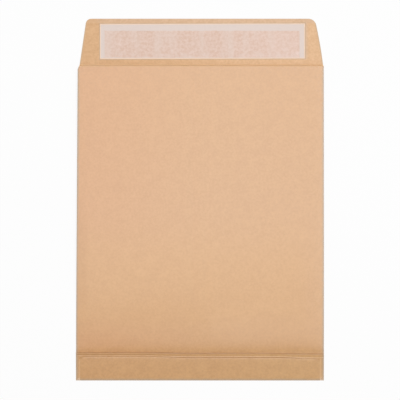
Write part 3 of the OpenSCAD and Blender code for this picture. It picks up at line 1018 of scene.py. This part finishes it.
def relief_drop(tree, given, here):
    """How far the paper lies below the place that its folds give it."""
    x, y, z = coordinates(tree, here)
    body = THROAT - HALF_GUSSET
    up = scaled(tree, y, 1 / body, -(FOOT + HALF_GUSSET) / body)
    inside = most(tree, least(tree, *from_edges(tree, x, up)), 0.0)
    crown = dying(tree, inside, given["Crown Width"], given["Crown"])
    roll = dying(tree, inside, given["Roll Width"], given["Roll"])
    line = bell(tree, maths(tree, "ABSOLUTE", x), given["Fold Line X"], given["Fold Line Width"],
                given["Fold Line Depth"])
    seam = bell(tree, x, given["Seam Dip X"], given["Seam Dip Width"], given["Seam Dip"])
    sag = times(tree, ramp(tree, x, *SAG_ACROSS), given["Sag"], ramp(tree, y, *SAG_BEGINS),
                ramp(tree, y, *SAG_ENDS))
    down = plus(tree, waves_of(tree, given, here, y), crown, roll, line, seam, sag)
    free_back = times(tree, ramp(tree, z, *FREE_BACK_ABOVE), ramp(tree, y, *FREE_BACK_BEGINS))
    score = bell(tree, y, given["Score Y"], given["Score Width"], given["Score Depth"])
    score = times(tree, score, ramp(tree, z, *FLAP_FACE_ABOVE), ramp(tree, z, *FLAP_FACE_BELOW))
    return scaled(tree, down, free_back, score)


def painted(tree, given, geometry):
    """Sets the three finishes by the numbers that the faces carry."""
    number = tree.nodes.new("GeometryNodeInputMaterialIndex").outputs[0]
    for finish, name in ((OUTSIDE, "Glazed"), (INSIDE, "Inner"), (CUT, "Cut")):
        same = tree.nodes.new("FunctionNodeCompare")
        same.data_type = "INT"
        same.operation = "EQUAL"
        a, b = [socket for socket in same.inputs if socket.type == "INT"]
        plug(tree, number, a)
        plug(tree, finish, b)
        paint = tree.nodes.new("GeometryNodeSetMaterial")
        plug(tree, geometry, paint.inputs["Geometry"])
        plug(tree, same.outputs[0], paint.inputs["Selection"])
        plug(tree, given[name], paint.inputs["Material"])
        geometry = paint.outputs[0]
    return geometry


def relief_tree():
    """Node tree that gives a part of the blank its relief and its three finishes."""
    tree = bpy.data.node_groups.new("paper_relief", "GeometryNodeTree")
    relief_inputs(tree)
    given = tree.nodes.new("NodeGroupInput").outputs
    here = tree.nodes.new("GeometryNodeInputPosition").outputs[0]
    shift = tree.nodes.new("ShaderNodeCombineXYZ")
    plug(tree, times(tree, relief_drop(tree, given, here), -1.0), shift.inputs[2])
    move = tree.nodes.new("GeometryNodeSetPosition")
    plug(tree, given["Geometry"], move.inputs["Geometry"])
    plug(tree, shift.outputs[0], move.inputs["Offset"])
    real = tree.nodes.new("GeometryNodeRealizeInstances")
    plug(tree, move.outputs[0], real.inputs[0])
    finished = painted(tree, given, real.outputs[0])
    plug(tree, finished, tree.nodes.new("NodeGroupOutput").inputs[0])
    return tree


def baked(obj):
    """Keeps what an object's modifiers make of it as its plain mesh."""
    graph = bpy.context.evaluated_depsgraph_get()
    mesh = bpy.data.meshes.new_from_object(obj.evaluated_get(graph), depsgraph=graph)
    obj.modifiers.clear()
    obj.data = mesh
    return obj


def relieved(obj, tree):
    """Runs the relief tree on a part of the blank."""
    step = obj.modifiers.new("relief", "NODES")
    step.node_group = tree
    values = {**RELIEF, "Glazed": glazed_kraft, "Inner": inner_kraft, "Cut": cut_kraft}
    for socket in tree.interface.items_tree:
        if socket.item_type == "SOCKET" and socket.name in values:
            step[socket.identifier] = values[socket.name]
    return baked(obj)


def weld(base, parts, operation="UNION"):
    """Joins the parts to base, or cuts them from it, and removes them."""
    for part in parts:
        step = base.modifiers.new("weld", "BOOLEAN")
        step.operation = operation
        step.solver = "MANIFOLD"
        step.object = part
    baked(base)
    for part in parts:
        bpy.data.objects.remove(part)
    return base


SHARP_FOLD = math.radians(9)

# the parts of the blank get their relief and are welded into the one sheet that they are
relief = relief_tree()
foot_flap = weld(bottom_flap(), [corner_cutter(1), corner_cutter(-1)], "DIFFERENCE")
kraft = weld(relieved(body_tube(), relief),
             [front_foot(), foot_flap, back_fold(), crease_wall(), relieved(top_flap(), relief)]
             + corner_tuck(1) + corner_tuck(-1))
kraft.name = "kraft_envelope"
kraft.data.shade_smooth()
kraft.data.set_sharp_from_angle(angle=SHARP_FOLD)
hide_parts("kraft_sheet")
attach(kraft, "root")

# The adhesive strip is a band of clear, tacky glue rolled on to the flap's inner face. Its
# edges are a little wavy, and its face has the fine orange peel of a coated film.
GLUE_LOW, GLUE_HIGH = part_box("adhesive_strip")
GLUE_WAVE = 0.18 * MM
GLUE_WAVE_LENGTH = 7 * MM
GLUE_WAVE_MEAN, GLUE_WAVE_SWING = 0.6, 0.4
GLUE_EDGE = 0.5 * MM
GLUE_EDGE_OUT = 0.1 * MM
GLUE_STEP = 2 * MM
GLUE_CLOSE = (0.2 * MM, 0.5 * MM)
PEEL = 0.006 * MM
PEEL_LENGTH = 3 * MM
PEEL_ROOM = 0.01 * MM
SHARP_EDGE = math.radians(40)
GLUE = (0.80, 0.70, 0.52)
GLUE_TONE = 0.95
GLUE_CLOUDS = (0.35, 0.65)


def sheet_grid(name, xs, ys, point, finish):
    """A thin closed sheet: point(x, y, upper) places each corner of its two faces."""
    points = [point(x, y, upper) for upper in (False, True) for y in ys for x in xs]
    cells, rim = sheet_faces(len(xs), len(ys))
    mesh = bpy.data.meshes.new(name)
    mesh.from_pydata(points, [], cells + rim)
    mesh.materials.append(finish)
    mesh.shade_smooth()
    mesh.set_sharp_from_angle(angle=SHARP_EDGE)
    obj = bpy.data.objects.new(name, mesh)
    bpy.context.scene.collection.objects.link(obj)
    return obj


def steps_between(low, high, step, close):
    """Even steps from low to high, with closer ones beside both ends."""
    n = round((high - low) / step)
    even = [low + (high - low) * i / n for i in range(n + 1)]
    return sorted(set(even + [low + d for d in close] + [high - d for d in close]))


def ripple(x, y, length, seed):
    """Smooth noise from -1 to 1 with features about length across."""
    return noise.noise(Vector((x / length, y / length, seed)))


def glue_point(x, y, upper):
    """The glue is flat below. Its sides wander, and its face is soft at them and has a peel."""
    mid = (GLUE_LOW + GLUE_HIGH) / 2
    half = (GLUE_HIGH - GLUE_LOW) / 2
    u, v = (x - mid.x) / half.x, (y - mid.y) / half.y
    wave = noise.noise(Vector((x / GLUE_WAVE_LENGTH, v, 3)))
    inset = GLUE_WAVE * (GLUE_WAVE_MEAN + GLUE_WAVE_SWING * wave)
    z = GLUE_LOW.z
    if upper:
        edge = min(half.x - abs(x - mid.x), half.y - abs(y - mid.y))
        full = GLUE_HIGH.z - GLUE_LOW.z - PEEL_ROOM
        z += full * smooth(edge, -GLUE_EDGE_OUT, GLUE_EDGE)
        z += PEEL * ripple(x, y, PEEL_LENGTH, seed=1)
    return x - u * inset, y - v * inset, z


def make_tacky_glue():
    """Clear glue, a little cloudy, with a fine tooth."""
    finish, tree, shader, place = new_material("tacky_glue", roughness=0.22, specular=0.5)
    cloudy = ramp(tree, grain(tree, place, size=3 * MM, detail=3.0), *GLUE_CLOUDS)
    colour = blend(tree, cloudy, [c * GLUE_TONE for c in GLUE], GLUE)
    plug(tree, colour, shader.inputs["Base Color"])
    tooth(tree, shader, grain(tree, place, size=1.2 * MM), strength=0.3, depth=0.05 * MM)
    return finish


glue = sheet_grid("peel_and_seal_glue",
                  steps_between(GLUE_LOW.x, GLUE_HIGH.x, GLUE_STEP, GLUE_CLOSE),
                  steps_between(GLUE_LOW.y, GLUE_HIGH.y, GLUE_STEP, GLUE_CLOSE),
                  glue_point, make_tacky_glue())
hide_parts("adhesive_strip")
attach(glue, "root")

# The release liner is a strip of siliconised paper over the glue. It clings to the strip and
# shows its mottled tack through, stands out past it on all sides, and lies down there on the
# flap, with its free edges lifting a little.
LINER_THICKNESS = LINER_HIGH.z - LINER_LOW.z
LINER_CLEAR = 0.004 * MM
LINER_DROP = 1.2 * MM
LINER_LIFT = 0.16 * MM
LINER_LIFT_LENGTH = 1.6 * MM
LINER_LIFT_WAVE = 18 * MM
LINER_LIFT_MEAN, LINER_LIFT_SWING = 0.7, 0.6
LINER_CURL = 0.5 * MM
LINER_CURL_RADIUS = 14 * MM
LINER_LOOSE = 0.02 * MM
LINER_LOOSE_WAVE = 9 * MM
LINER_STEP = 2 * MM
LINER_CLOSE = [d * MM for d in (0.3, 0.6, 0.9, 1.3, 1.7, 2.3, 3.2, 4.3, 5.2, 5.8, 6.5, 7.5)]


def liner_point(x, y, upper):
    """The liner lies on the glue, drops to the paper beside it, and lifts at its edges."""
    beside = max(GLUE_LOW.x - x, x - GLUE_HIGH.x, GLUE_LOW.y - y, y - GLUE_HIGH.y)
    on_glue = 1 - smooth(beside, 0, LINER_DROP)
    edge = min(x - LINER_LOW.x, LINER_HIGH.x - x, y - LINER_LOW.y, LINER_HIGH.y - y)
    lift = LINER_LIFT * (1 - smooth(edge, 0, LINER_LIFT_LENGTH))
    lift *= LINER_LIFT_MEAN + LINER_LIFT_SWING * ripple(x, y, LINER_LIFT_WAVE, seed=5)
    corner_x = LINER_HIGH.x if x > 0 else LINER_LOW.x
    from_corner = math.hypot(x - corner_x, y - LINER_HIGH.y)
    curl = LINER_CURL * max(0, 1 - from_corner / LINER_CURL_RADIUS) ** 2
    loose = LINER_LOOSE * max(0, ripple(x, y, LINER_LOOSE_WAVE, seed=7)) * (1 - on_glue)
    z = GLUE_LOW.z + LINER_CLEAR + (LINER_LOW.z - GLUE_LOW.z) * on_glue + lift + curl + loose
    if upper:
        z += LINER_THICKNESS - LINER_CLEAR
    return x, y + LINER_SKEW * x, z


# the liner's colours: bare, a painted highlight along its cut edge, and where the tack shows
# through
SILICONE = (0.665, 0.548, 0.490)
SILICONE_TONE = 0.025
LINER_EDGE_HIGHLIGHT = (0.84, 0.60, 0.42)
TACK = (0.615, 0.405, 0.300)
TACK_DRY = (0.725, 0.550, 0.480)
TACK_BAND = (0.685, 0.545, 0.475)
TACK_PALE = (0.84, 0.62, 0.55)

# the ramps of the tack's stuck area, its wet and dry mottle, its upright bands and pale foot
STUCK_BEGINS = (-0.5 * MM, 0.5 * MM)
STUCK_WANDER = 0.6 * MM
WET_RANGE = (0.34, 0.66)
WET_SHARE = 0.6
DRY_RANGE = (0.58, 0.74)
BAND_RANGE = (0.42, 0.66, 0.0, 0.45)
BAND_STRETCH = (1.0, 0.12, 1.0)
TACK_FOOT_RANGE = (0.45, 0.62, 0.0, 0.4)
TACK_FOOT_ENDS = (GLUE_LOW.y + 3 * MM, GLUE_LOW.y + 9 * MM, 1.0, 0.0)
TACK_PALES = (10 * MM, 95 * MM, 0.0, 0.13)
LINER_HIGHLIGHT_ENDS = (0.5 * MM, 1.2 * MM, 0.8, 0.0)


def inside_box(tree, x, y, low, high):
    """Distance to the nearest side of a box in X and Y, negative outside it."""
    return least(tree, minus(tree, x, low.x), minus(tree, high.x, x),
                 minus(tree, y, low.y), minus(tree, high.y, y))


def tack_colour(tree, place, x, y):
    """The tack seen through the liner: wet where it holds, dry in patches and upright bands."""
    wet = ramp(tree, grain(tree, place, size=3 * MM, detail=3.0, roughness=0.7), *WET_RANGE)
    dry = ramp(tree, grain(tree, place, size=16 * MM, detail=3.0, roughness=0.6), *DRY_RANGE)
    bands = grain(tree, place, size=14 * MM, detail=3.0, roughness=0.6, stretch=BAND_STRETCH)
    foot = times(tree, ramp(tree, grain(tree, place, size=11 * MM), *TACK_FOOT_RANGE),
                 ramp(tree, y, *TACK_FOOT_ENDS))
    colour = blend(tree, most(tree, times(tree, wet, WET_SHARE), dry), TACK, TACK_DRY)
    colour = blend(tree, most(tree, ramp(tree, bands, *BAND_RANGE), foot), colour, TACK_BAND)
    return blend(tree, ramp(tree, x, *TACK_PALES), colour, TACK_PALE)


def make_release_paper():
    """Siliconised paper that shows the tack where it is stuck, with a painted highlight along its
    cut edge.
    """
    finish, tree, shader, place = new_material("release_paper", roughness=0.42, specular=0.5)
    x, y, _ = coordinates(tree, place)
    wander = scaled(tree, grain(tree, place, size=5 * MM), 2 * STUCK_WANDER, -STUCK_WANDER)
    stuck = plus(tree, inside_box(tree, x, y, GLUE_LOW, GLUE_HIGH), wander)
    bare = blend(tree, grain(tree, place, size=4 * MM, detail=3.0),
                 [c * (1 - SILICONE_TONE) for c in SILICONE],
                 [c * (1 + SILICONE_TONE) for c in SILICONE])
    colour = blend(tree, ramp(tree, stuck, *STUCK_BEGINS), bare, tack_colour(tree, place, x, y))
    # painted highlight along the liner's edge
    liner_y = scaled(tree, x, -LINER_SKEW, y)
    edge = ramp(tree, inside_box(tree, x, liner_y, LINER_LOW, LINER_HIGH), *LINER_HIGHLIGHT_ENDS)
    plug(tree, blend(tree, edge, colour, LINER_EDGE_HIGHLIGHT), shader.inputs["Base Color"])
    fine = grain(tree, place, size=1.4 * MM, detail=3.0, roughness=0.6)
    tooth(tree, shader, fine, strength=0.3, depth=0.05 * MM)
    return finish


liner = sheet_grid("release_liner_strip",
                   steps_between(LINER_LOW.x, LINER_HIGH.x, LINER_STEP, LINER_CLOSE),
                   steps_between(LINER_LOW.y, LINER_HIGH.y, LINER_STEP, LINER_CLOSE),
                   liner_point, make_release_paper())
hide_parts("release_liner")
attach(liner, "root")

# The floor is a plain white sheet under the envelope. It takes the envelope's shadow, and
# the camera sees it as paper white.
FLOOR_HALF = 3.0
FLOOR_DROP = 0.05 * MM
FLOOR_WHITE = (0.9, 0.9, 0.9)
FLOOR_SHOWN = 0.88


def seen_directly(tree):
    """1 for rays from the camera, off gloss or through glass, and 0 for the light that falls."""
    rays = tree.nodes.new("ShaderNodeLightPath").outputs
    return most(tree, rays["Is Camera Ray"], rays["Is Glossy Ray"], rays["Is Transmission Ray"])


def mixed_output(tree, share, first, second, output):
    """Mixes two shaders, the first where share is 0, and hands them to an output node."""
    both = tree.nodes.new("ShaderNodeMixShader")
    plug(tree, share, both.inputs[0])
    tree.links.new(first.outputs[0], both.inputs[1])
    tree.links.new(second.outputs[0], both.inputs[2])
    tree.links.new(both.outputs[0], tree.nodes.new(output).inputs[0])


floor_mesh = bpy.data.meshes.new("floor")
floor_corners = [(FLOOR_HALF * x, FLOOR_HALF * y, -FLOOR_DROP)
                 for x, y in ((-1, -1), (1, -1), (1, 1), (-1, 1))]
floor_mesh.from_pydata(floor_corners, [], [(0, 1, 2, 3)])
floor = bpy.data.objects.new("floor", floor_mesh)
bpy.context.scene.collection.objects.link(floor)
floor_white = bpy.data.materials.new("floor_white")
floor_white.use_nodes = True
floor_tree = floor_white.node_tree
floor_tree.nodes.clear()
diffuse = floor_tree.nodes.new("ShaderNodeBsdfDiffuse")
plug(floor_tree, FLOOR_WHITE, diffuse.inputs["Color"])
glow = floor_tree.nodes.new("ShaderNodeEmission")
mixed_output(floor_tree, times(floor_tree, seen_directly(floor_tree), FLOOR_SHOWN), diffuse, glow,
             "ShaderNodeOutputMaterial")
floor_mesh.materials.append(floor_white)

# The room is white all round. Its even light is over a quarter of what falls on the
# envelope, and softens the shadow on the floor.
ROOM_LIGHT = 0.30
world = bpy.data.worlds.new("room")
bpy.context.scene.world = world
world.use_nodes = True
room_tree = world.node_tree
room_tree.nodes.clear()
falling = room_tree.nodes.new("ShaderNodeBackground")
falling.inputs["Strength"].default_value = ROOM_LIGHT
seen = room_tree.nodes.new("ShaderNodeBackground")
mixed_output(room_tree, seen_directly(room_tree), falling, seen, "ShaderNodeOutputWorld")

# One large soft box hangs level over the envelope, further out past the top flap than past
# the foot, so that the glazed paper loses its sheen where it slopes down to the foot.
BOX_HEIGHT = 1.9
BOX_LEFT, BOX_RIGHT = -0.62, 0.92
BOX_NEAR, BOX_FAR = -0.50, 1.15
BOX_LIGHT = 4.25
soft_box = bpy.data.lights.new("soft_box", "AREA")
soft_box.shape = "RECTANGLE"
soft_box.size = BOX_RIGHT - BOX_LEFT
soft_box.size_y = BOX_FAR - BOX_NEAR
soft_box.energy = BOX_LIGHT * math.pi * soft_box.size * soft_box.size_y
lamp = bpy.data.objects.new("soft_box", soft_box)
lamp.location = ((BOX_LEFT + BOX_RIGHT) / 2, (BOX_NEAR + BOX_FAR) / 2, BOX_HEIGHT)
bpy.context.scene.collection.objects.link(lamp)

# The camera looks straight down on the back of the envelope from far off, as the photograph
# does, with a long lens.
LENS = 300
SENSOR = 36
CAMERA_PLACE = (0.1 * MM, -0.45 * MM, 3.498)
camera_data = bpy.data.cameras.new("camera")
camera_data.lens = LENS
camera_data.sensor_width = SENSOR
camera = bpy.data.objects.new("camera", camera_data)
camera.location = CAMERA_PLACE
bpy.context.scene.collection.objects.link(camera)
bpy.context.scene.camera = camera
bpy.context.scene.view_settings.view_transform = "Standard"
